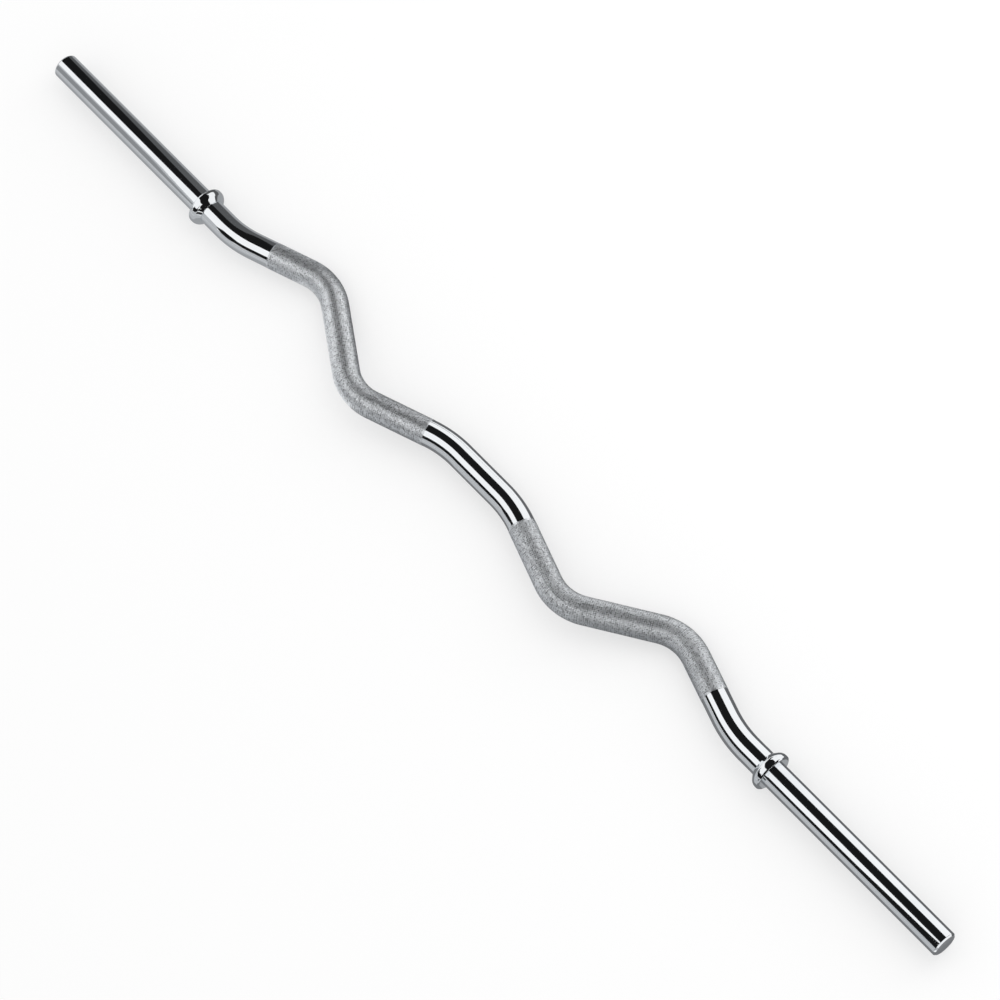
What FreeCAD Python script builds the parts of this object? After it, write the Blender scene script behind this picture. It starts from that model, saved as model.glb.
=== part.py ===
# EZ curl bar: one bent, chrome-plated steel shaft with a stop collar pressed on at each end of its
# grip part. Lengths are millimetres. The bar lies as it rests on a floor: along X, on its two collars
# and its two outer bends, with the origin on the floor under the middle of its box.
import FreeCAD, Part
import os
import Sketcher

Vector = FreeCAD.Vector
WHOLE_TURN = 360
SIZES = "sizes"

# Driving dimensions: name, value, what it is
DIMENSIONS = [
    ("shaft_diameter", 25.4, "bar stock of the bent part and of the collar seats"),
    ("centre_half_run", 45.2, "middle of the bar to the corner of the centre bend"),
    ("bend_pitch", 97.4, "from one corner of the zigzag to the next, along the bar"),
    ("seat_run", 49.9, "corner of the last bend to the outer face of the collar"),
    ("sleeve_length", 209.7, "outer face of the collar to the end of the bar"),
    ("sleeve_diameter", 25.0, "turned end that the plates slide on"),
    ("end_chamfer", 1.5, "bevel round each end face"),
    ("centre_offset", 3.6, "centre run, off the line of the sleeves towards the outer bends"),
    ("inner_bend_offset", 28.9, "corner of the inner bend, off the line of the sleeves"),
    ("outer_bend_offset", 31.8, "corner of the outer bend, off the line of the sleeves"),
    ("tight_bend_radius", 50, "inner and outer bends, on the middle line"),
    ("wide_bend_radius", 115, "centre bends and bends beside the collars, on the middle line"),
    ("knurl_raise", 0.2, "height of the knurled band over the plain shaft"),
    ("knurl_inner_margin", 0.5, "plain strip between the centre bend and the knurl"),
    ("knurl_outer_margin", 21, "plain strip between the knurl and the bend beside the collar"),
    ("collar_diameter", 38, "outside of the stop collar"),
    ("collar_width", 12, "length of the collar along the bar"),
    ("collar_edge_bevel", 1.6, "bevel round the collar's outer edge"),
    ("collar_flank_run", 5.2, "slanted inner flank of the collar, measured along the bar"),
    ("collar_shoulder_radius", 2, "round shoulder between that flank and the crown of the collar"),
    ("collar_foot_height", 0.6, "square foot of that flank, over the shaft"),
]

doc = FreeCAD.newDocument("ez_curl_bar")
sheet = doc.addObject("Spreadsheet::Sheet", SIZES)
for row, (alias, value, meaning) in enumerate(DIMENSIONS, start=1):
    sheet.set(f"A{row}", meaning)
    sheet.set(f"B{row}", str(value))
    sheet.setAlias(f"B{row}", alias)
doc.recompute()


def size(alias):
    """The expression that reads one driving dimension."""
    return f"{SIZES}.{alias}"


def value_of(expression):
    """The number that an expression gives for the present dimensions."""
    result = sheet.evalExpression(expression)
    return float(getattr(result, "Value", result))


# Places along the bar, for its +X half
centre_corner_x = size("centre_half_run")
inner_corner_x = f"({centre_corner_x} + {size('bend_pitch')})"
outer_corner_x = f"({inner_corner_x} + {size('bend_pitch')})"
sleeve_corner_x = f"({outer_corner_x} + {size('bend_pitch')})"
collar_face_x = f"({sleeve_corner_x} + {size('seat_run')})"
bar_end_x = f"({collar_face_x} + {size('sleeve_length')})"
inner_corner_y = f"(-{size('inner_bend_offset')})"

# Slopes of the three slanted runs against the line of the sleeves
inner_slope = f"atan(({size('centre_offset')} + {size('inner_bend_offset')}) / {size('bend_pitch')})"
steep_slope = f"atan(({size('inner_bend_offset')} + {size('outer_bend_offset')}) / {size('bend_pitch')})"
outer_slope = f"atan({size('outer_bend_offset')} / {size('bend_pitch')})"


def bend_reach(offset, slope):
    """How far the middle line of a tight bend stands off the sleeves: its corner, less the arc's cut."""
    cut_off = f"(cos(({steep_slope} - {slope}) / 2) / cos(({steep_slope} + {slope}) / 2) - 1)"
    return f"({size(offset)} - {size('tight_bend_radius')} * {cut_off})"


outer_reach = bend_reach("outer_bend_offset", outer_slope)
inner_reach = bend_reach("inner_bend_offset", inner_slope)
grip_diameter = f"({size('shaft_diameter')} + 2 * {size('knurl_raise')})"

# At rest the collars touch the floor and the bar has rolled until its outer bends touch it too
rest_tilt = f"asin(({size('collar_diameter')} - {grip_diameter}) / 2 / {outer_reach})"
axis_y = f"(({inner_reach} - {outer_reach}) / 2 * cos({rest_tilt}))"
axis_z = f"({size('collar_diameter')} / 2)"


def origin_feature(body, role):
    return next(feature for feature in body.Origin.OriginFeatures if feature.Role == role)


def new_sketch(body, name):
    """A sketch in the plane of the zigzag."""
    sketch = body.newObject("Sketcher::SketchObject", name)
    sketch.AttachmentSupport = [(origin_feature(body, "XY_Plane"), "")]
    sketch.MapMode = "FlatFace"
    return sketch


def bind(sketch, constraint, expression):
    """Add a dimension to a sketch and tie it to the driving dimensions."""
    index = sketch.addConstraint(constraint)
    sketch.setExpression(f"Constraints[{index}]", expression)


def point_at(corner):
    x, y = corner
    return Vector(value_of(x), value_of(y), 0)


def bind_point(sketch, geometry, position, corner):
    """Dimension one point from the sketch's origin."""
    x, y = corner
    place = point_at(corner)
    bind(sketch, Sketcher.Constraint("DistanceX", -1, 1, geometry, position, place.x), x)
    bind(sketch, Sketcher.Constraint("DistanceY", -1, 1, geometry, position, place.y), y)


def round_corner(sketch, before, after, points, radius):
    """Round the corner of two edges with a tangent arc; the number of the point kept at the corner."""
    arc = sketch.GeometryCount
    middles = [(points[0] + points[1]) / 2, (points[1] + points[2]) / 2]
    sketch.fillet(before, after, *middles, value_of(radius), True, True)
    bind(sketch, Sketcher.Constraint("Radius", arc, value_of(radius)), radius)
    return arc + 1


def bent_route(body, name, corners, radii):
    """A middle line of straight runs, with a tangent arc at every corner between its two ends."""
    sketch = new_sketch(body, name)
    points = [point_at(corner) for corner in corners]
    runs = len(points) - 1
    for start, end in zip(points, points[1:]):
        sketch.addGeometry(Part.LineSegment(start, end))
    for run in range(runs - 1):
        sketch.addConstraint(Sketcher.Constraint("Coincident", run, 2, run + 1, 1))
    for run, radius in enumerate(radii):
        kept_corner = round_corner(sketch, run, run + 1, points[run:run + 3], radius)
        bind_point(sketch, kept_corner, 1, corners[run + 1])
    bind_point(sketch, 0, 1, corners[0])
    bind_point(sketch, runs - 1, 2, corners[-1])
    return sketch


def round_bar(body, name, route, diameter):
    """Solid round stock along a route."""
    doc.recompute()
    section = body.newObject("Sketcher::SketchObject", f"{name}_section")
    section.AttachmentSupport = [(route, "Edge1")]
    section.MapMode = "NormalToEdge"
    radius = value_of(diameter) / 2
    section.addGeometry(Part.Circle(Vector(), Vector(0, 0, 1), radius))
    section.addConstraint(Sketcher.Constraint("Coincident", 0, 3, -1, 1))
    bind(section, Sketcher.Constraint("Diameter", 0, 2 * radius), diameter)
    pipe = body.newObject("PartDesign::AdditivePipe", name)
    pipe.Profile = section
    pipe.Spine = route
    return pipe


def turned(body, name, outline):
    """A solid of revolution about the bar's own axis, from a closed outline sketch."""
    revolution = body.newObject("PartDesign::Revolution", name)
    revolution.Profile = outline
    revolution.ReferenceAxis = (origin_feature(body, "X_Axis"), [""])
    revolution.Angle = WHOLE_TURN
    return revolution


def closed_outline(body, name, corners, rounded):
    """A closed outline of straight edges from corner to corner; rounded gives radii for round corners."""
    sketch = new_sketch(body, name)
    points = [point_at(corner) for corner in corners]
    count = len(points)
    for k, start in enumerate(points):
        sketch.addGeometry(Part.LineSegment(start, points[(k + 1) % count]))
    for k in range(count):
        sketch.addConstraint(Sketcher.Constraint("Coincident", k, 2, (k + 1) % count, 1))
    for k, corner in enumerate(corners):
        if k in rounded:
            around = [points[k - 1], points[k], points[(k + 1) % count]]
            kept_corner = round_corner(sketch, k - 1, k, around, rounded[k])
            bind_point(sketch, kept_corner, 1, corner)
        else:
            bind_point(sketch, k, 1, corner)
    return sketch


def make_shaft():
    """The bent bar: grip part, knurled bands and turned sleeves, made as one half and mirrored."""
    body = doc.addObject("PartDesign::Body", "shaft")
    centre_corner = (centre_corner_x, size("centre_offset"))
    inner_corner = (inner_corner_x, inner_corner_y)
    outer_corner = (outer_corner_x, size("outer_bend_offset"))
    tight = size("tight_bend_radius")
    wide = size("wide_bend_radius")
    corners = [
        ("0", size("centre_offset")),
        centre_corner,
        inner_corner,
        outer_corner,
        (sleeve_corner_x, "0"),
        (collar_face_x, "0"),
    ]
    route = bent_route(body, "shaft_route", corners, [wide, tight, tight, wide])
    bar = round_bar(body, "bent_bar", route, size("shaft_diameter"))

    # The knurl covers both tight bends and ends on the slanted runs before and after them
    inner_gap = f"({wide} * tan({inner_slope} / 2) + {size('knurl_inner_margin')})"
    outer_gap = f"({wide} * tan({outer_slope} / 2) + {size('knurl_outer_margin')})"
    knurl_start = (
        f"{centre_corner_x} + {inner_gap} * cos({inner_slope})",
        f"{size('centre_offset')} - {inner_gap} * sin({inner_slope})",
    )
    knurl_end = (
        f"{sleeve_corner_x} - {outer_gap} * cos({outer_slope})",
        f"{outer_gap} * sin({outer_slope})",
    )
    knurl_corners = [knurl_start, inner_corner, outer_corner, knurl_end]
    knurl_route = bent_route(body, "knurl_route", knurl_corners, [tight, tight])
    knurl = round_bar(body, "knurled_band", knurl_route, grip_diameter)

    sleeve_radius = f"{size('sleeve_diameter')} / 2"
    sleeve_outline = closed_outline(body, "sleeve_outline", [
        (collar_face_x, "0"),
        (bar_end_x, "0"),
        (bar_end_x, f"{sleeve_radius} - {size('end_chamfer')}"),
        (f"{bar_end_x} - {size('end_chamfer')}", sleeve_radius),
        (collar_face_x, sleeve_radius),
    ], rounded={})
    sleeve = turned(body, "turned_sleeve", sleeve_outline)

    other_half = body.newObject("PartDesign::Mirrored", "other_half")
    other_half.Originals = [bar, knurl, sleeve]
    other_half.MirrorPlane = (origin_feature(body, "YZ_Plane"), [""])
    body.Tip = other_half
    body.setExpression(
        "Placement",
        f"placement(vector(0; {axis_y}; {axis_z}); rotation(vector(1; 0; 0); -{rest_tilt}))",
    )
    return body


def make_collar(name, way_out):
    """A stop collar, drawn with its outer face at x = 0 and its flank towards -X, then turned way_out."""
    body = doc.addObject("PartDesign::Body", name)
    bore_radius = f"{size('shaft_diameter')} / 2"
    rim_radius = f"{size('collar_diameter')} / 2"
    foot_radius = f"{bore_radius} + {size('collar_foot_height')}"
    inner_x = f"-{size('collar_width')}"
    bevel = size("collar_edge_bevel")
    shoulder = (f"{size('collar_flank_run')} - {size('collar_width')}", rim_radius)
    corners = [
        (inner_x, bore_radius),
        ("0", bore_radius),
        ("0", f"{rim_radius} - {bevel}"),
        (f"-{bevel}", rim_radius),
        shoulder,
        (inner_x, foot_radius),
    ]
    rounded = {corners.index(shoulder): size("collar_shoulder_radius")}
    outline = closed_outline(body, f"{name}_outline", corners, rounded)
    turned(body, f"{name}_ring", outline)

    facing = "0" if way_out > 0 else f"{WHOLE_TURN} / 2"
    body.setExpression(
        "Placement",
        f"placement(vector({way_out} * {collar_face_x}; {axis_y}; {axis_z});"
        f" rotation(vector(0; 0; 1); {facing}))",
    )
    return body


parts = [make_shaft(), make_collar("left_collar", -1), make_collar("right_collar", 1)]
doc.recompute()

for item in doc.Objects:
    if "Invalid" in item.State or "Error" in item.State:
        raise RuntimeError(f"{item.Name} failed: {item.State}")
for part in parts:
    if part.Shape.isNull() or not part.Shape.isValid() or len(part.Shape.Solids) != 1:
        raise RuntimeError(f"{part.Label} is not one valid solid")

os.makedirs("parts", exist_ok=True)
for part in parts:
    part.Shape.exportStep(os.path.join("parts", f"{part.Label}.step"))
    box = part.Shape.BoundBox
    print(f"{part.Label}: {part.Shape.Volume:.0f} mm3, X {box.XMin:.2f} to {box.XMax:.2f},"
          f" Y {box.YMin:.2f} to {box.YMax:.2f}, Z {box.ZMin:.2f} to {box.ZMax:.2f}")
print(f"bar length {2 * value_of(bar_end_x):.1f} mm, rest tilt {value_of(rest_tilt):.2f} degrees")
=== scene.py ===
# %% [markdown]
# # An ez curl bar in chrome
# The real bar is one length of round steel. It is knurled where the hands go, bent into a zigzag and plated
# with chrome, and it carries a stop collar at each end of the grip part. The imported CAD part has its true
# sizes, so this lesson loads it first as a fixed frame, and then builds finer pieces in the same place.

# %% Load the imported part
import math
import random
import bmesh
import bpy
from mathutils import Matrix, Vector


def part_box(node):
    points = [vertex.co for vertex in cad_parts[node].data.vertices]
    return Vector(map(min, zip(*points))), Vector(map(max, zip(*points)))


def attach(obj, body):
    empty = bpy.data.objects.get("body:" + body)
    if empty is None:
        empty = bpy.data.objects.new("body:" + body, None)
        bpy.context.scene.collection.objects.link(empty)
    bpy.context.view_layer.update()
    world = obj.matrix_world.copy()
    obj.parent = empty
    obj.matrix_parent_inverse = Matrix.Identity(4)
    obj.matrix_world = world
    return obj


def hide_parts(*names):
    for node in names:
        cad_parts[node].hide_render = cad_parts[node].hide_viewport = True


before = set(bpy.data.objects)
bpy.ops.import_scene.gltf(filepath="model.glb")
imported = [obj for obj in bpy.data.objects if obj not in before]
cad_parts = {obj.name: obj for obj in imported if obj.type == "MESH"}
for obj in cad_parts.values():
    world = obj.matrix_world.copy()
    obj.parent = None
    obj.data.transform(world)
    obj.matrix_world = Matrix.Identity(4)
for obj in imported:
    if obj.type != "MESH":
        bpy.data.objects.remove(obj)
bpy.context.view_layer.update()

MM = 0.001
WHOLE_TURN = 2 * math.pi
BODY = "root"
print("nodes of the packed part:", sorted(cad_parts))

# %% [markdown]
# ## The route of the bar
# Everything on the bar follows its middle line: straight runs joined by round bends, all in one plane. A bar
# is bent cold on a machine that feeds it straight and winds it round a die, so the route is kept the same
# way, as a list of bends along the straight stock. Each one has the station where it starts, its turn and its
# radius. The route could also be a curve object with a bevel, but the knurl couldn't be wrapped round that.

# %% Corners of the zigzag and the bends between its runs
CENTRE_HALF_RUN = 45.2 * MM
BEND_PITCH = 97.4 * MM
SEAT_RUN = 49.9 * MM
SLEEVE_LENGTH = 209.7 * MM
CORNER_OFFSETS = [3.6 * MM, -28.9 * MM, 31.8 * MM, 0]
BEND_RADII = [115 * MM, 50 * MM, 50 * MM, 115 * MM]

corner_stations = [CENTRE_HALF_RUN + BEND_PITCH * k for k in range(len(CORNER_OFFSETS))]
bar_half = corner_stations[-1] + SEAT_RUN + SLEEVE_LENGTH
corners = [Vector((0, CORNER_OFFSETS[0]))]
corners += [Vector(place) for place in zip(corner_stations, CORNER_OFFSETS)]
corners += [Vector((bar_half, 0))]

bends = []
station = 0
cut_before = 0
for before, corner, after, radius in zip(corners, corners[1:], corners[2:], BEND_RADII):
    turn = (corner - before).angle_signed(after - corner) * -1
    cut = radius * math.tan(abs(turn) / 2)
    station += (corner - before).length - cut_before - cut
    bends.append((station, turn, radius))
    station += abs(turn) * radius
    cut_before = cut
bar_end = station + (corners[-1] - corners[-2]).length - cut_before
collar_face = bar_end - SLEEVE_LENGTH
for start, turn, radius in bends:
    print(f"bend at {start / MM:.1f} mm: {math.degrees(turn):.1f} degrees, radius {radius / MM:.0f} mm")
print(f"straight stock for half the bar: {bar_end / MM:.1f} mm")

# %% [markdown]
# ## Bending a straight piece
# Each piece is modelled straight, with x as the station along the stock, and bent afterwards. The outermost
# bend comes first, and each bend carries along all that lies beyond it, so the order is the reverse of the
# route. A ring of vertices inside a bend is fed back to where the bend starts and turned round the die by its
# own share of the arc. The knurl then stretches on the outside of a bend and closes up inside it, as on
# steel. A Curve modifier could bend a piece too, but it would depend on a second object.

# %% Bend a piece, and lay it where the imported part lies
REST_TILT = math.radians(13.04)
STATION_DIGITS = 6
collar_low, collar_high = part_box("right_collar")
sleeve_axis = (collar_low + collar_high) / 2
sleeve_axis.x = 0


def bend_bar(bm):
    rings = {}
    for vert in bm.verts:
        rings.setdefault(round(vert.co.x, STATION_DIGITS), []).append(vert)
    for start, turn, radius in reversed(bends):
        die = Vector((start, math.copysign(radius, turn), 0))
        feeds = {}
        for ring_station, ring in rings.items():
            fed = min(ring_station - start, abs(turn) * radius)
            if fed > 0:
                feeds.setdefault(fed, []).extend(ring)
        for fed, verts in feeds.items():
            share = Matrix.Rotation(math.copysign(fed / radius, turn), 3, "Z")
            bmesh.ops.translate(bm, vec=(-fed, 0, 0), verts=verts)
            bmesh.ops.rotate(bm, cent=die, matrix=share, verts=verts)


def lay_at_rest(bm, way):
    """Put a bent right half in its place, or with a way of -1 mirror it to the left."""
    bmesh.ops.translate(bm, vec=(0, CORNER_OFFSETS[0], 0), verts=bm.verts)
    bmesh.ops.scale(bm, vec=(way, 1, 1), verts=bm.verts)
    bmesh.ops.rotate(bm, cent=(0, 0, 0), matrix=Matrix.Rotation(-REST_TILT, 3, "X"), verts=bm.verts)
    bmesh.ops.translate(bm, vec=sleeve_axis, verts=bm.verts)


print("line of the sleeves:", [round(value / MM, 2) for value in sleeve_axis])

# %% [markdown]
# ## Shader maths as expressions
# A finish mixes several patterns, and a tree of Math nodes is hard to read. This small class wraps a socket,
# so that a formula in Python adds the nodes by itself, and one method makes any other node. A Mix node keeps
# a set of sockets for each kind of value, so its colours are picked by number.

# %% A socket that takes part in formulas
MIX_SHARE = 0
MIX_FIRST_COLOUR = 6
MIX_SECOND_COLOUR = 7
MIX_COLOUR_RESULT = 2


class Ink:
    """An output socket of a node tree, or with no output the tree alone."""

    def __init__(self, tree, output=None):
        self.tree = tree
        self.output = output

    def node(self, kind, settings=None, inputs=None, output=0):
        made = self.tree.nodes.new(kind)
        for name, value in (settings or {}).items():
            setattr(made, name, value)
        for name, value in (inputs or {}).items():
            if isinstance(value, Ink):
                self.tree.links.new(value.output, made.inputs[name])
            else:
                made.inputs[name].default_value = value
        return Ink(self.tree, made.outputs[output] if made.outputs else None)

    def maths(self, operation, first, second):
        return self.node("ShaderNodeMath", {"operation": operation}, {0: first, 1: second})

    def __add__(self, other):
        return self.maths("ADD", self, other)

    def __sub__(self, other):
        return self.maths("SUBTRACT", self, other)

    def __rsub__(self, other):
        return self.maths("SUBTRACT", other, self)

    def __mul__(self, other):
        return self.maths("MULTIPLY", self, other)

    __radd__ = __add__
    __rmul__ = __mul__

    def over(self, low, high):
        """This value from low to high, as a mask from 0 to 1."""
        return self.node("ShaderNodeMapRange", {}, {"Value": self, "From Min": low, "From Max": high})

    def tint(self, first, second):
        """A colour between two, with this value as the share of the second."""
        inputs = {MIX_SHARE: self, MIX_FIRST_COLOUR: first, MIX_SECOND_COLOUR: second}
        return self.node("ShaderNodeMix", {"data_type": "RGBA"}, inputs, MIX_COLOUR_RESULT)


def new_finish(name):
    finish = bpy.data.materials.new(name)
    finish.use_nodes = True
    finish.node_tree.nodes.clear()
    return finish, Ink(finish.node_tree)


def noise(ink, place, pattern):
    return ink.node("ShaderNodeTexNoise", {}, {"Vector": place, **pattern})


def close_finish(ink, colour, roughness, height, strength, depth):
    """End a bare metal finish: a metallic shader, its fine relief, and the output."""
    relief = ink.node("ShaderNodeBump", {}, {"Height": height, "Strength": strength, "Distance": depth})
    metal = ink.node("ShaderNodeBsdfPrincipled", {}, {
        "Base Color": colour, "Roughness": roughness, "Metallic": 1.0, "Normal": relief,
    })
    ink.node("ShaderNodeOutputMaterial", {}, {"Surface": metal})


print("helpers for finishes are ready")

# %% [markdown]
# ## Polished chrome
# Bright chrome is a mirror with a slightly blue-grey tint. One even value would make a perfect mirror, which
# reads as drawn. What gives it away as metal is small: rings left by the polishing belt, a soft bloom where
# hands have been, and a faint waviness of the plate that makes long reflections swim. All three read Object
# coordinates, so they stay with the bar. The collars are a shade darker, with clearer belt rings.

# %% The finish of the shaft and of the collars
BELT_RINGS = (2600, 55, 55)
BELT_NOISE = {"Scale": 1.0, "Detail": 2.0}
BLOOM_NOISE = {"Scale": 21.0, "Detail": 5.0, "Roughness": 0.62}
WAVE_NOISE = {"Scale": 95.0, "Detail": 1.0}
HAZE_RANGE = (0.52, 0.74)
HAZE_SHARE = 0.6
HAZE_ROUGHNESS = 0.05
BELT_ROUGHNESS = 0.03
MIRROR_ROUGHNESS = 0.025
WAVE_STRENGTH = 0.05
WAVE_DEPTH = 0.4 * MM


def chrome_finish(name, dark, light, belt_relief):
    finish, ink = new_finish(name)
    place = ink.node("ShaderNodeTexCoord", output="Object")
    belt_place = ink.node("ShaderNodeMapping", {}, {"Vector": place, "Scale": BELT_RINGS})
    belt = noise(ink, belt_place, BELT_NOISE)
    bloom = noise(ink, place, BLOOM_NOISE)
    wave = noise(ink, place, WAVE_NOISE)
    hazy = bloom.over(*HAZE_RANGE)
    colour = (hazy * HAZE_SHARE + belt * (1 - HAZE_SHARE)).tint(light, dark)
    roughness = hazy * HAZE_ROUGHNESS + belt * BELT_ROUGHNESS + MIRROR_ROUGHNESS
    close_finish(ink, colour, roughness, wave + belt * belt_relief, WAVE_STRENGTH, WAVE_DEPTH)
    return finish


chrome = chrome_finish(
    "polished_chrome", dark=(0.79, 0.82, 0.85, 1), light=(0.90, 0.92, 0.94, 1), belt_relief=0.05)
collar_chrome = chrome_finish(
    "collar_chrome", dark=(0.77, 0.80, 0.83, 1), light=(0.89, 0.91, 0.93, 1), belt_relief=0.12)
print("finishes:", chrome.name, collar_chrome.name)

# %% [markdown]
# ## Satin knurl
# The knurl is plated with the same chrome, but its thousands of small slopes scatter the light, and no two of
# its diamonds take the same polish. Each face of the mesh carries its own value from 0 for dull to 1 for
# bright, and the finish turns this into colour and gloss. A noise alone would not keep to the diamonds, so
# noise only adds what does not keep to them: patches worn by hands, flecks and a fine grain.

# %% The finish of the knurled grips
POLISH = "polish"
WORN_NOISE = {"Scale": 38.0, "Detail": 4.0}
WORN_RANGE = (0.35, 0.7)
WORN_SHARE = 0.15
GRAIN_NOISE = {"Scale": 2300.0, "Detail": 2.0}
GRAIN_ROUGHNESS = 0.02
GRAIN_STRENGTH = 0.2
GRAIN_DEPTH = 0.08 * MM
FLECK_NOISE = {"Scale": 640.0, "Detail": 1.0}
FLECK_RANGE = (0.38, 0.62)
FLECK_SHARE = 0.15
KNURL_DARK = (0.27, 0.279, 0.293, 1)
KNURL_LIGHT = (0.95, 0.975, 1.0, 1)
KNURL_ROUGHNESS = 0.3
POLISH_GLOSS = 0.02


def knurl_finish():
    finish, ink = new_finish("satin_knurl")
    place = ink.node("ShaderNodeTexCoord", output="Object")
    polish = ink.node("ShaderNodeAttribute", {"attribute_name": POLISH}, output="Fac")
    worn = noise(ink, place, WORN_NOISE).over(*WORN_RANGE)
    grain = noise(ink, place, GRAIN_NOISE)
    fleck = noise(ink, place, FLECK_NOISE).over(*FLECK_RANGE)
    bright = polish * (worn * WORN_SHARE + (1 - WORN_SHARE)) + fleck * FLECK_SHARE
    colour = bright.tint(KNURL_DARK, KNURL_LIGHT)
    roughness = KNURL_ROUGHNESS - bright * POLISH_GLOSS + grain * GRAIN_ROUGHNESS
    close_finish(ink, colour, roughness, grain, GRAIN_STRENGTH, GRAIN_DEPTH)
    return finish


knurl = knurl_finish()
print("finish:", knurl.name)

# %% [markdown]
# ## Faced bar end
# The end of the stock was cut off and faced on a lathe, and is duller than the polished side. The tool leaves
# fine rings round the middle of the bar. A Wave texture could draw rings, but they would all be alike. Here
# their height depends only on the distance from the line of the sleeves, so the finish measures that distance
# and reads a one-dimensional noise with it.

# %% The finish of the two end faces
ACROSS_BAR = (0, 1, 1)
TOOL_RINGS = 2200
TOOL_NOISE = {"Scale": 1.0, "Detail": 3.0}
TOOL_SHARE = 0.6
TOOL_ROUGHNESS = 0.08
TOOL_STRENGTH = 0.35
TOOL_DEPTH = 0.06 * MM
CLOUD_NOISE = {"Scale": 160.0, "Detail": 4.0}
CLOUD_ROUGHNESS = 0.16
END_ROUGHNESS = 0.3
END_DARK = (0.28, 0.29, 0.305, 1)
END_LIGHT = (0.50, 0.51, 0.53, 1)


def end_finish():
    finish, ink = new_finish("faced_end")
    place = ink.node("ShaderNodeTexCoord", output="Object")
    from_axis = ink.node("ShaderNodeVectorMath", {"operation": "SUBTRACT"}, {0: place, 1: sleeve_axis})
    in_face = ink.node("ShaderNodeVectorMath", {"operation": "MULTIPLY"}, {0: from_axis, 1: ACROSS_BAR})
    distance = ink.node("ShaderNodeVectorMath", {"operation": "LENGTH"}, {0: in_face}, "Value")
    ring_place = distance * TOOL_RINGS
    rings = ink.node("ShaderNodeTexNoise", {"noise_dimensions": "1D"}, {"W": ring_place, **TOOL_NOISE})
    cloud = noise(ink, place, CLOUD_NOISE)
    colour = (rings * TOOL_SHARE + cloud * (1 - TOOL_SHARE)).tint(END_DARK, END_LIGHT)
    roughness = END_ROUGHNESS + cloud * CLOUD_ROUGHNESS + rings * TOOL_ROUGHNESS
    close_finish(ink, colour, roughness, rings, TOOL_STRENGTH, TOOL_DEPTH)
    return finish


faced_end = end_finish()
print("finish:", faced_end.name)

# %% [markdown]
# ## Turned pieces
# Bar ends, sleeves and collars are turned on a lathe, so a spin is the natural way to make them: draw half of
# the section, round its corners with a vertex bevel, and turn it once round the bar. The long edges are
# divided first, because a straight edge with no vertices on it couldn't be bent. Weighted normals then keep
# the flat and the straight faces free of the shading of the small round edges beside them. A cylinder with a
# Bevel modifier would be quicker, but it has no place for steps, chamfers and shoulders.

# %% Turn an outline, and make a finished piece of a mesh
STEPS_ROUND = 112
RING_SPACING = 2.5 * MM
ROUND_SEGMENTS = 5
SHARP = math.radians(32)
TINY = 1e-7
NO_ROUND = 0


def turned(outline):
    """Spin half a section. Each of its corners has a station, a radius and the size of its rounding."""
    bm = bmesh.new()
    corner_verts = [bm.verts.new((x, radius, 0)) for x, radius, rounding in outline]
    bm.faces.new(corner_verts)
    for vert, (x, radius, rounding) in zip(corner_verts, outline):
        if rounding > NO_ROUND:
            bmesh.ops.bevel(bm, geom=[vert], offset=rounding, segments=ROUND_SEGMENTS, profile=0.5,
                            affect="VERTICES", material=-1)
    bmesh.ops.delete(bm, geom=bm.faces[:], context="FACES_ONLY")
    on_axis = [edge for edge in bm.edges if max(vert.co.y for vert in edge.verts) < TINY]
    bmesh.ops.delete(bm, geom=on_axis, context="EDGES")
    long_edges = [edge for edge in bm.edges if abs(edge.verts[0].co.x - edge.verts[1].co.x) > RING_SPACING]
    for edge in long_edges:
        bmesh.ops.subdivide_edges(bm, edges=[edge], cuts=int(edge.calc_length() / RING_SPACING))
    bmesh.ops.spin(bm, geom=bm.verts[:] + bm.edges[:], cent=(0, 0, 0), axis=(1, 0, 0), angle=WHOLE_TURN,
                   steps=STEPS_ROUND, use_merge=True)
    bmesh.ops.remove_doubles(bm, verts=bm.verts, dist=TINY)
    return bm


def object_of(bm, name, finish):
    """A mesh object with one finish, linked into the scene."""
    mesh = bpy.data.meshes.new(name)
    bm.to_mesh(mesh)
    bm.free()
    mesh.materials.append(finish)
    made = bpy.data.objects.new(name, mesh)
    bpy.context.scene.collection.objects.link(made)
    return made


def make_piece(bm, name, finish, node, smooth=True):
    bmesh.ops.recalc_face_normals(bm, faces=bm.faces)
    for face in bm.faces:
        face.smooth = smooth
    for edge in bm.edges:
        edge.smooth = len(edge.link_faces) == 2 and edge.calc_face_angle() < SHARP
    piece = object_of(bm, name, finish)
    if smooth:
        piece.modifiers.new("even_shading", "WEIGHTED_NORMAL").keep_sharp = True
    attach(piece, BODY)
    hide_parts(node)
    print(f"{name}: {len(piece.data.vertices)} vertices, {len(piece.data.polygons)} faces")


print(f"turned pieces have {STEPS_ROUND} steps round and a ring every {RING_SPACING / MM} mm")

# %% [markdown]
# ## The plain bar ends
# From the knurl outwards the stock is smooth: over the last bend, under the collar, and along the sleeve that
# the plates slide on. The sleeve is turned a little thinner than the stock, which gives the collar a seat to
# stop against, and its end has a chamfer so that plates go on easily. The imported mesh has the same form, but
# its flat facets would show in a mirror finish, so the bar is turned again with finer ones. A shallow pocket
# takes the faced end.

# %% Left and right bar ends
SHAFT_RADIUS = 12.7 * MM
SLEEVE_RADIUS = 12.5 * MM
END_CHAMFER = 1.5 * MM
EDGE_ROUND = 0.25 * MM
FACE_DEPTH = 0.6 * MM
KNURL_OUTER_MARGIN = 21 * MM
SIDES = {"left": -1, "right": 1}

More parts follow.
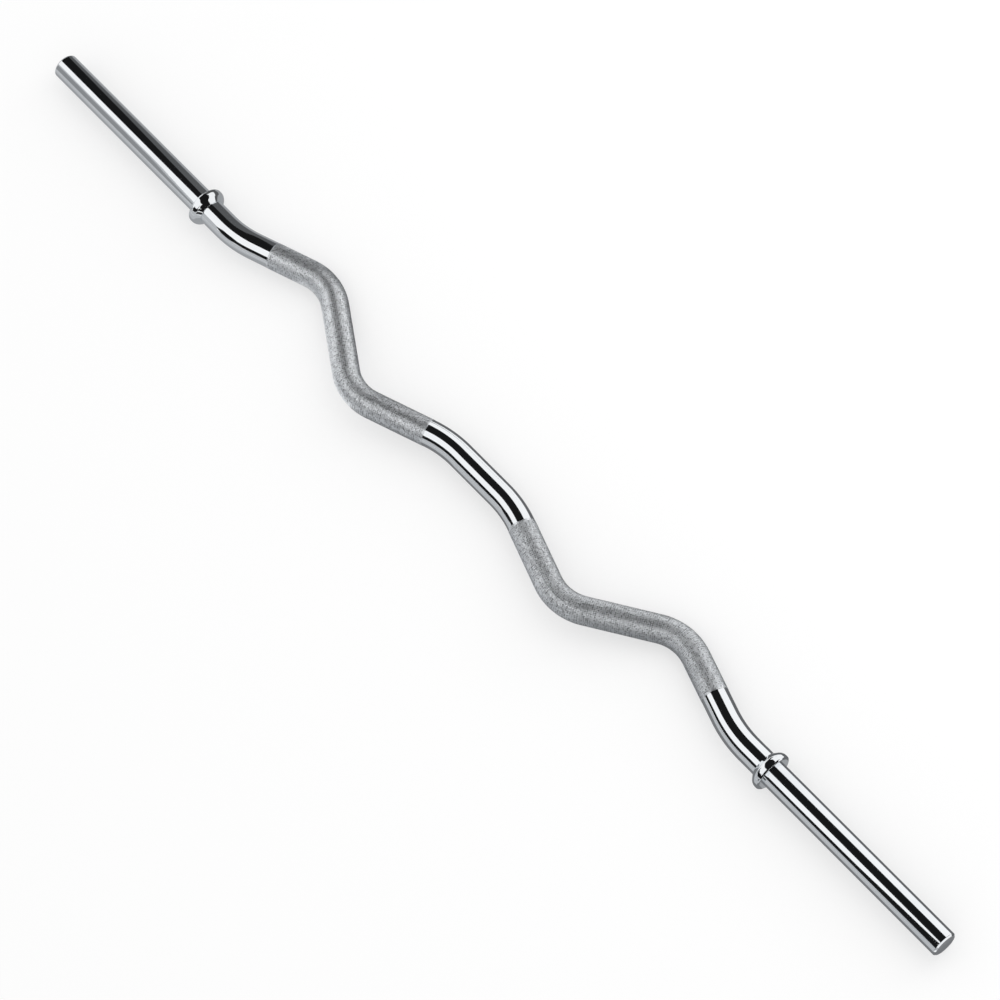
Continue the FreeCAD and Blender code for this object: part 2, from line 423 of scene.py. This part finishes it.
last_bend_start = bends[-1][0]
knurl_end = last_bend_start - KNURL_OUTER_MARGIN
face_radius = SLEEVE_RADIUS - END_CHAMFER
bar_end_outline = [
    (knurl_end, 0, NO_ROUND),
    (knurl_end, SHAFT_RADIUS, NO_ROUND),
    (collar_face, SHAFT_RADIUS, NO_ROUND),
    (collar_face, SLEEVE_RADIUS, NO_ROUND),
    (bar_end - END_CHAMFER, SLEEVE_RADIUS, EDGE_ROUND),
    (bar_end, face_radius, EDGE_ROUND),
    (bar_end - FACE_DEPTH, face_radius, NO_ROUND),
    (bar_end - FACE_DEPTH, 0, NO_ROUND),
]
for side, way in SIDES.items():
    bm = turned(bar_end_outline)
    bend_bar(bm)
    lay_at_rest(bm, way)
    make_piece(bm, f"{side}_bar_end", chrome, "shaft")

# %% [markdown]
# ## The faced ends
# Each end face is a disc with a slightly softened rim, which sits in the pocket of the bar end. It could be a
# second material on a few faces of the bar, but its finish is not that of the polished bar, and as a piece of
# its own it can be given another one by itself.

# %% Left and right end faces
face_outline = [
    (bar_end - FACE_DEPTH, 0, NO_ROUND),
    (bar_end - FACE_DEPTH, face_radius, NO_ROUND),
    (bar_end, face_radius, EDGE_ROUND),
    (bar_end, 0, NO_ROUND),
]
for side, way in SIDES.items():
    bm = turned(face_outline)
    bend_bar(bm)
    lay_at_rest(bm, way)
    make_piece(bm, f"{side}_end_face", faced_end, "shaft")

# %% [markdown]
# ## The smooth centre
# The middle of the bar is left plain, with a wide bend at each side. It could be turned in one go, but the
# bends are listed from the middle outwards. So half of it is turned and bent, and a mirror adds the other
# half. The two halves share their middle ring, and the inner caps are taken out first.

# %% Centre run
KNURL_INNER_MARGIN = 0.5 * MM
first_start, first_turn, first_radius = bends[0]
knurl_start = first_start + abs(first_turn) * first_radius + KNURL_INNER_MARGIN
centre_outline = [
    (0, 0, NO_ROUND),
    (0, SHAFT_RADIUS, NO_ROUND),
    (knurl_start, SHAFT_RADIUS, NO_ROUND),
    (knurl_start, 0, NO_ROUND),
]
bm = turned(centre_outline)
inner_caps = [face for face in bm.faces if max(abs(vert.co.x) for vert in face.verts) < TINY]
bmesh.ops.delete(bm, geom=inner_caps, context="FACES")
bend_bar(bm)
bmesh.ops.mirror(bm, geom=bm.verts[:] + bm.edges[:] + bm.faces[:], merge_dist=TINY, axis="X")
lay_at_rest(bm, SIDES["right"])
make_piece(bm, "centre_run", chrome, "shaft")

# %% [markdown]
# ## A tube of diamonds
# A knurling tool presses two sets of slanted grooves into the stock, and flat-topped diamonds are left
# between them. A bump map would do from far away, but the outline of a grip is made of real diamonds, so
# these are modelled. The way there is short: a tube of rectangles is poked, so each gets a point in its
# middle. When the old straight edges are dissolved, what is left between the points are diamonds. They stand
# in rows that interlock, and every second row takes more polish than those between. Blender may list the new
# faces in another order at each run, so each diamond is numbered by its row and its column.

# %% Diamonds round a straight tube
DIAMONDS_ROUND = 50
DIAMOND_LENGTH = 1.9 * MM
DIAMOND_CORNERS = 4
DIAMOND_NUMBER = "number"
ROWS_PER_LENGTH = 2
COLUMNS = 2 * DIAMONDS_ROUND
GROOVE_RADIUS = 12.77 * MM


def diamond_tube(start, end):
    bm = bmesh.new()
    line = bm.edges.new([bm.verts.new((x, GROOVE_RADIUS, 0)) for x in (start, end)])
    lengths = round((end - start) / DIAMOND_LENGTH)
    bmesh.ops.subdivide_edges(bm, edges=[line], cuts=lengths - 1)
    bmesh.ops.spin(bm, geom=bm.verts[:] + bm.edges[:], cent=(0, 0, 0), axis=(1, 0, 0), angle=WHOLE_TURN,
                   steps=DIAMONDS_ROUND, use_merge=True)
    bmesh.ops.recalc_face_normals(bm, faces=bm.faces)
    straight = [edge for edge in bm.edges if not edge.is_boundary]
    bmesh.ops.poke(bm, faces=bm.faces[:])
    bmesh.ops.dissolve_edges(bm, edges=straight)
    number = bm.faces.layers.int.new(DIAMOND_NUMBER)
    for face in bm.faces:
        middle = face.calc_center_median()
        row = round((middle.x - start) / (end - start) * lengths * ROWS_PER_LENGTH)
        column = round(math.atan2(middle.z, middle.y) / WHOLE_TURN * COLUMNS) % COLUMNS
        if len(face.verts) == DIAMOND_CORNERS:
            face[number] = row * COLUMNS + column
    return bm


print(f"{DIAMONDS_ROUND} diamonds round the bar, each {DIAMOND_LENGTH / MM} mm long")

# %% [markdown]
# ## Lifting the diamonds
# Each diamond is inset and lifted, which leaves slopes round a flat top. On the real bar no two are quite
# alike, and a perfectly even knurl would look like woven cloth. So each one draws its own polish from the
# spread of its row, and its top leans a little. The draws go by the numbers of the diamonds, and by the order
# of their corners along a slanted line, so each run gives the same knurl. All this is done after the bending,
# where the inset keeps its width on both sides of a bend. The left grip is worn a little flatter, and shows
# the studio more clearly.

# %% Lift, polish and lean the diamonds
DIAMOND_LIFTS = {"left": 0.07 * MM, "right": 0.105 * MM}
DIAMOND_SLOPE = 0.28 * MM
DIAMOND_LEAN = 0.05 * MM
FULL_POLISH = 1
EVEN_ROW = 0
ODD_ROW = 1
SHINE_SPREADS = {ODD_ROW: (4.0, 0.6), EVEN_ROW: (1.1, 1.0)}
KNURL_SEED = 5
CORNER_ORDER = Vector((1, 0.37, 0.61))


def lift_diamonds(bm, lift):
    bmesh.ops.recalc_face_normals(bm, faces=bm.faces)
    polish = bm.faces.layers.float.new(POLISH)
    number = bm.faces.layers.int[DIAMOND_NUMBER]
    diamonds = sorted([face for face in bm.faces if face[number]], key=lambda face: face[number])
    for face in bm.faces:
        face[polish] = FULL_POLISH
    bmesh.ops.inset_individual(bm, faces=diamonds, thickness=DIAMOND_SLOPE, depth=lift)
    dice = random.Random(KNURL_SEED)
    for face in diamonds:
        row = face[number] // COLUMNS
        shine = dice.betavariate(*SHINE_SPREADS[row % len(SHINE_SPREADS)])
        for facet in [face] + [slope for edge in face.edges for slope in edge.link_faces]:
            facet[polish] = shine
        up = face.normal.copy()
        for vert in sorted(face.verts, key=lambda vert: vert.co.dot(CORNER_ORDER)):
            vert.co += up * dice.uniform(-DIAMOND_LEAN, DIAMOND_LEAN)
    bm.faces.layers.int.remove(number)
    return len(diamonds)


print("lift in mm:", {side: round(lift / MM, 3) for side, lift in DIAMOND_LIFTS.items()})

# %% [markdown]
# ## The knurled grips
# The knurl stops at a narrow plain rim, where the tool was lifted off, and the rim falls away to the smooth
# bar. Each tube could be left open where it meets the bar, but then its mesh wouldn't be a closed body. So
# the rim is extruded in three steps, and a flat face closes it inside the bar.

# %% Left and right grips
RIM_RADIUS = 12.9 * MM
RIM_RISE = 0.15 * MM
RIM_FLAT = 0.35 * MM
RIM_FALL = 0.3 * MM
RIM_TUCK = 0.1 * MM
RIM_STEPS = [(RIM_RISE, RIM_RADIUS), (RIM_FLAT, RIM_RADIUS), (RIM_FALL, SHAFT_RADIUS - RIM_TUCK)]
RIM_WIDTH = RIM_RISE + RIM_FLAT + RIM_FALL


def close_ends(bm, way_out):
    """A plain bevelled rim past the last diamonds, and a flat face that closes the tube."""
    for reach, way in way_out.items():
        rim = [edge for edge in bm.edges if edge.is_boundary and abs(edge.verts[0].co.x - reach) < TINY]
        for width, radius in RIM_STEPS:
            made = bmesh.ops.extrude_edge_only(bm, edges=rim)["geom"]
            ring = [item for item in made if isinstance(item, bmesh.types.BMVert)]
            rim = [item for item in made if isinstance(item, bmesh.types.BMEdge)]
            for vert in ring:
                vert.co.yz = Vector(vert.co.yz).normalized() * radius
            bmesh.ops.translate(bm, vec=(way * width, 0, 0), verts=ring)
        bmesh.ops.contextual_create(bm, geom=rim)


grip_ends = {knurl_start + RIM_WIDTH: -1, knurl_end - RIM_WIDTH: 1}
for side, way in SIDES.items():
    bm = diamond_tube(*grip_ends)
    close_ends(bm, grip_ends)
    bend_bar(bm)
    lay_at_rest(bm, way)
    count = lift_diamonds(bm, DIAMOND_LIFTS[side])
    make_piece(bm, f"{side}_grip", knurl, "shaft", smooth=False)
    print(f"{side} grip: {count} diamonds")

# %% [markdown]
# ## The stop collars
# A stop collar is a turned ring, pressed onto its seat. Plates rest against its flat outer face, and the
# inner side falls away in a round shoulder, so that it reads as a bead on the bar. A torus would be too round
# and has no flat face, so the section is drawn corner by corner, and each corner gets its own rounding.

# %% Left and right collars
COLLAR_RADIUS = 19 * MM
COLLAR_WIDTH = 12 * MM
COLLAR_BEVEL = 1.6 * MM
COLLAR_FLANK_RUN = 5.2 * MM
COLLAR_FOOT = 0.6 * MM
COLLAR_EDGE_ROUND = 0.6 * MM
COLLAR_SHOULDER_ROUND = 2.6 * MM
COLLAR_FOOT_ROUND = 0.3 * MM
collar_outline = [
    (collar_face - COLLAR_WIDTH, SHAFT_RADIUS, NO_ROUND),
    (collar_face, SHAFT_RADIUS, NO_ROUND),
    (collar_face, COLLAR_RADIUS - COLLAR_BEVEL, COLLAR_EDGE_ROUND),
    (collar_face - COLLAR_BEVEL, COLLAR_RADIUS, COLLAR_EDGE_ROUND),
    (collar_face - COLLAR_WIDTH + COLLAR_FLANK_RUN, COLLAR_RADIUS, COLLAR_SHOULDER_ROUND),
    (collar_face - COLLAR_WIDTH, SHAFT_RADIUS + COLLAR_FOOT, COLLAR_FOOT_ROUND),
]
for side, way in SIDES.items():
    bm = turned(collar_outline)
    bend_bar(bm)
    lay_at_rest(bm, way)
    make_piece(bm, f"{side}_collar_ring", collar_chrome, f"{side}_collar")

# %% [markdown]
# ## Camera
# The bar was photographed from high above with a long lens, and it runs across the picture from corner to
# corner. A camera could be moved by hand until it fits, but the lean, the distance and the focal length were
# worked out from points along the bar, so the camera is set up from those numbers.

# %% Camera direction, as the photograph has it
VIEW_LEAN = math.radians(22.18)
VIEW_DISTANCE = 3561 * MM
FOCAL_PIXELS = 4007
PICTURE_PIXELS = 1000
SENSOR_MM = 36
AXIS_PIXELS = (-22.93, -22.48)
FAR_LIMIT = 50

view_back = Vector((math.sin(VIEW_LEAN), 0, math.cos(VIEW_LEAN)))
picture_along = Vector((math.cos(VIEW_LEAN), 0, -math.sin(VIEW_LEAN)))
picture_across = Vector((0, 1, 0))
picture_right = (picture_along + picture_across).normalized()
picture_up = (picture_across - picture_along).normalized()
aim_right, aim_down = (VIEW_DISTANCE * pixels / FOCAL_PIXELS for pixels in AXIS_PIXELS)
camera_place = sleeve_axis + view_back * VIEW_DISTANCE - picture_right * aim_right + picture_up * aim_down
camera_turn = Matrix((picture_right, picture_up, view_back)).transposed().to_4x4()

camera_data = bpy.data.cameras.new("camera")
camera_data.sensor_width = SENSOR_MM
camera_data.lens = FOCAL_PIXELS * SENSOR_MM / PICTURE_PIXELS
camera_data.clip_end = FAR_LIMIT
camera = bpy.data.objects.new("camera", camera_data)
camera.matrix_world = Matrix.Translation(camera_place) @ camera_turn
bpy.context.scene.collection.objects.link(camera)
bpy.context.scene.camera = camera
print("camera at", [round(value, 3) for value in camera_place], "lens", round(camera_data.lens, 1))

# %% [markdown]
# ## Floor
# The bar lies on white paper that runs on past the picture. Paper under a lamp shows grey, and more light on
# it would burn out the bar too. So half of its white is a glow that only the camera and reflections see, and
# the other half is plain paper, which keeps the soft shadow.

# %% White paper
PAPER_WHITE = (0.95, 0.95, 0.95, 1)
PURE_WHITE = (1, 1, 1, 1)
PAPER_GLOW = 0.5
FLOOR_RADIUS = 12
FLOOR_SIDES = 96


def stage_piece(bm, name, finish):
    piece = object_of(bm, name, finish)
    return piece


def seen_directly(ink):
    """1 for the rays that show the studio: to the camera, in metal or through glass."""
    camera_ray = ink.node("ShaderNodeLightPath", output="Is Camera Ray")
    metal_ray = ink.node("ShaderNodeLightPath", output="Is Glossy Ray")
    glass_ray = ink.node("ShaderNodeLightPath", output="Is Transmission Ray")
    return camera_ray + metal_ray + glass_ray


def paper_finish():
    finish, ink = new_finish("white_paper")
    paper = ink.node("ShaderNodeBsdfDiffuse", {}, {"Color": PAPER_WHITE})
    glow = ink.node("ShaderNodeEmission", {}, {"Color": PURE_WHITE, "Strength": 1.0})
    lit = ink.node("ShaderNodeMixShader", {}, {0: seen_directly(ink) * PAPER_GLOW, 1: paper, 2: glow})
    ink.node("ShaderNodeOutputMaterial", {}, {"Surface": lit})
    return finish


bm = bmesh.new()
bmesh.ops.create_circle(bm, cap_ends=True, segments=FLOOR_SIDES, radius=FLOOR_RADIUS)
stage_piece(bm, "floor", paper_finish())
print("floor radius", FLOOR_RADIUS, "m")

# %% [markdown]
# ## Where a card shows
# Chrome has no colour of its own to photograph: what shows is the room. The bar lies in white surroundings,
# and black cards, called flags, give it the long dark bands that make it read as polished steel. Only
# reflections see the cards, so they cast no shadow. They could be moved about until they look right, but a
# round bar turns the line of sight by twice the slope of its surface. A place across the bar, from -1 at its
# lower left edge to 1 at its upper right edge in the picture, therefore looks in one known direction, and a
# card is stood out along the directions where its band begins and ends.

# %% Cards for reflections alone
FLAG_REACH = 1.1
FAR_REACH = 1.2
FLOOR_CARD_LIFT = 0.4 * MM
CARD_TINT = (0.98, 1.0, 1.025)


def seen_from(bar_x, across, reach):
    """The point of the studio that shows at this place of a straight run of the bar."""
    slope = math.asin(across)
    normal = Vector((0, math.sin(slope), math.cos(slope)))
    spot = Vector((bar_x, 0, 0)) + sleeve_axis + SHAFT_RADIUS * normal
    sight = (camera_place - spot).normalized()
    return spot + reach * (2 * sight.dot(normal) * normal - sight)


def card(name, shade, rungs):
    """A ladder of places, two at each rung, filled between its rungs."""
    finish, ink = new_finish(f"{name}_cloth")
    colour = [shade * share for share in CARD_TINT] + [1]
    cloth = ink.node("ShaderNodeEmission", {}, {"Color": colour})
    ink.node("ShaderNodeOutputMaterial", {}, {"Surface": cloth})
    bm = bmesh.new()
    edges = [bm.edges.new([bm.verts.new(place) for place in rung]) for rung in rungs]
    bmesh.ops.bridge_loops(bm, edges=edges)
    made = stage_piece(bm, name, finish)
    made.visible_camera = False
    made.visible_diffuse = False
    made.visible_shadow = False
    print(name, len(made.data.polygons), "faces")


def flag(name, shade, bands, reach=FLAG_REACH):
    card(name, shade, [[seen_from(bar_x, across, reach) for across in band] for bar_x, *band in bands])


def floor_card(name, shade, bands):
    card(name, shade, [[Vector((bar_x, y, FLOOR_CARD_LIFT)) for y in band] for bar_x, *band in bands])


print("the top of the bar shows", [round(value, 2) for value in seen_from(0, 0, FLAG_REACH)])

# %% [markdown]
# ## Flags over and beside the bar
# Each band of a flag has a station along the bar and the two places across it where the dark begins and ends.
# Two long flags give the dark lines along the whole bar. Grey cards fill in beside them, mostly at the left,
# where the real room was darker. Those that meet a flag stand a little farther out, so that no light shows
# between them.

# %% Flags
BLACK = 0.01
END_FLAG_X = 1.6
END_FLAG_HALF = 0.9
END_FLAG_HEIGHTS = (0.62, 1.5)
COLLAR_FLAG_X = 0.63
COLLAR_FLAG_TOP = 0.22
COLLAR_FLAG_FEET = [(-0.5, 0), (-0.12, 0), (0, 0.075), (0.12, 0), (0.5, 0)]

flag("overhead_flag", BLACK, [
    (1.7, -0.07, 0.445), (0.6, -0.07, 0.445), (0.43, -0.08, 0.445), (0.0, -0.03, 0.455),
    (-0.38, 0.03, 0.41), (-0.45, 0.035, 0.51), (-0.5, 0.04, 0.585), (-0.6, 0.06, 0.66), (-0.9, 0.08, 0.66),
])
flag("side_flag", BLACK, [
    (1.7, -0.58, -0.45), (0.75, -0.58, -0.45), (0.62, -0.58, -0.15), (0.6, -0.58, -0.15),
    (0.57, -0.58, -0.27), (0.5, -0.58, -0.37), (0.43, -0.58, -0.41), (0.0, -0.57, -0.385),
    (-0.12, -0.565, -0.395), (-0.18, -0.60, -0.36), (-0.28, -0.60, -0.36), (-0.345, -0.53, -0.47),
])
flag("left_side_card", shade=0.28, bands=[
    (-0.385, -0.64, -0.55), (-0.45, -0.64, -0.36), (-0.9, -0.64, -0.36),
])
flag("left_side_edge", shade=0.50, reach=FAR_REACH, bands=[
    (-0.33, -0.64, -0.48), (-0.38, -0.64, -0.44), (-0.44, -0.64, -0.27), (-0.9, -0.64, -0.27),
])
flag("left_far_card", shade=0.10, reach=FAR_REACH, bands=[(-0.28, 0.40, 0.73), (-0.9, 0.40, 0.73)])
flag("low_card", shade=0.5, reach=FAR_REACH, bands=[
    (0.65, -0.705, -0.58), (0.0, -0.705, -0.58), (-0.9, -0.705, -0.64),
])
flag("right_low_flag", shade=0.02, bands=[(1.9, -0.73, -0.62), (0.63, -0.73, -0.62)])
card("end_flag", BLACK, [
    [Vector((END_FLAG_X, y, z)) for z in END_FLAG_HEIGHTS] for y in (-END_FLAG_HALF, END_FLAG_HALF)
])
card("collar_flag", BLACK, [
    [Vector((COLLAR_FLAG_X, y, z)) for z in (foot, COLLAR_FLAG_TOP)] for y, foot in COLLAR_FLAG_FEET
])

# %% [markdown]
# ## Painted shade on the floor
# The lower edges of the bar look down at the floor beside it. On a real table that floor is dark close to the
# bar, in the bar's own shadow, and grey farther out on its shaded side. A darker floor would show in the
# picture, so this shade is painted on cards that lie on the floor and that only reflections see: dark strips
# for the shadow of the bar, grey ones for the shaded side. Each band has a station and the two distances from
# the middle of the bar, on the near side below zero. The strips are narrow beside the sleeves and wider beside
# the grips, because the zigzag swings to both sides there.

# %% Floor shades
CONTACT = 0.017
BESIDE_SLEEVE = 0.062
BESIDE_GRIP = 0.09
NEAR_CENTRE = 0.048
FAR_CENTRE = 0.065
FLOOR_REACH = 1.5

# Painted shadow of the bar on the floor at its near side, seen only in reflections.
floor_card("near_shade", shade=0.2, bands=[
    (0.62, -BESIDE_SLEEVE, -CONTACT), (0.36, -BESIDE_SLEEVE, -CONTACT),
    (0.30, -BESIDE_GRIP, 0), (0.12, -BESIDE_GRIP, 0), (0.04, -NEAR_CENTRE, 0), (-0.04, -NEAR_CENTRE, 0),
    (-0.08, -BESIDE_GRIP, 0), (-0.145, -BESIDE_GRIP, 0),
])
# Painted shadow of the bar on the floor at its far side, seen only in reflections.
floor_card("far_shade", shade=0.14, bands=[
    (0.62, CONTACT, BESIDE_SLEEVE), (0.36, CONTACT, BESIDE_SLEEVE),
    (0.30, 0, BESIDE_GRIP), (0.12, 0, BESIDE_GRIP), (0.04, 0, FAR_CENTRE), (-0.04, 0, FAR_CENTRE),
    (-0.12, 0, BESIDE_GRIP), (-0.265, 0, BESIDE_GRIP),
])
# Painted shadow on the floor right under the right sleeve and collar, seen only in reflections.
floor_card("right_shade", shade=0.36, bands=[(0.62, -CONTACT, CONTACT), (0.36, -CONTACT, CONTACT)])
# Painted shadow on the floor under and beside the left end of the bar, seen only in reflections.
floor_card("left_shade", shade=0.36, bands=[
    (-0.265, -BESIDE_GRIP, BESIDE_GRIP), (-0.36, -BESIDE_SLEEVE, BESIDE_SLEEVE),
    (-0.8, -BESIDE_SLEEVE, BESIDE_SLEEVE),
])
# Painted shade: grey floor on the shaded near side, beyond the bar's shadow, seen only in reflections.
floor_card("shaded_floor", shade=0.5, bands=[
    (1.5, -FLOOR_REACH, -BESIDE_SLEEVE), (0.36, -FLOOR_REACH, -BESIDE_SLEEVE),
    (0.26, -FLOOR_REACH, -BESIDE_GRIP), (0.12, -FLOOR_REACH, -BESIDE_GRIP),
    (0.04, -FLOOR_REACH, -NEAR_CENTRE), (-0.04, -FLOOR_REACH, -NEAR_CENTRE),
    (-0.08, -FLOOR_REACH, -BESIDE_GRIP), (-0.145, -FLOOR_REACH, -BESIDE_GRIP),
])
# Painted shade: the same grey shaded floor on the near side of the left half, seen only in reflections.
floor_card("left_shaded_floor", shade=0.5, bands=[
    (-0.145, -FLOOR_REACH, -0.3), (-0.265, -FLOOR_REACH, -BESIDE_GRIP),
    (-0.36, -FLOOR_REACH, -BESIDE_SLEEVE), (-1.5, -FLOOR_REACH, -BESIDE_SLEEVE),
])
floor_card("left_far_floor", shade=0.10, bands=[
    (-0.24, BESIDE_GRIP, FLOOR_REACH), (-0.36, BESIDE_SLEEVE, FLOOR_REACH),
    (-1.8, BESIDE_SLEEVE, FLOOR_REACH),
])

# %% [markdown]
# ## Light
# One wide soft lamp beyond the bar and the even light of the white world are enough. Together they light a
# white surface to about white, so every finish shows at the value that it was given. The lamp stays out of
# reflections, where its square shape would show on the chrome.

# %% Lamp and world
LAMP_WIDTH = 2.4
LAMP_HEIGHT = 1.2
LAMP_POWER = 12
LAMP_PLACE = Vector((0.3, 1.6, 1.5))
WORLD_LIGHT = 0.92

lamp_data = bpy.data.lights.new("soft_lamp", "AREA")
lamp_data.shape = "RECTANGLE"
lamp_data.size = LAMP_WIDTH
lamp_data.size_y = LAMP_HEIGHT
lamp_data.energy = LAMP_POWER
lamp = bpy.data.objects.new("soft_lamp", lamp_data)
lamp_turn = LAMP_PLACE.to_track_quat("Z", "X").to_matrix().to_4x4()
lamp.matrix_world = Matrix.Translation(LAMP_PLACE) @ lamp_turn
lamp.visible_glossy = False
bpy.context.scene.collection.objects.link(lamp)

world = bpy.data.worlds.new("white_studio")
world.use_nodes = True
world.node_tree.nodes.clear()
ink = Ink(world.node_tree)
strength = seen_directly(ink) * (1 - WORLD_LIGHT) + WORLD_LIGHT
white = ink.node("ShaderNodeBackground", {}, {"Color": PURE_WHITE, "Strength": strength})
ink.node("ShaderNodeOutputWorld", {}, {"Surface": white})
bpy.context.scene.world = world
bpy.context.scene.view_settings.view_transform = "Standard"
print("lamp", lamp_data.energy, "W, world", WORLD_LIGHT)
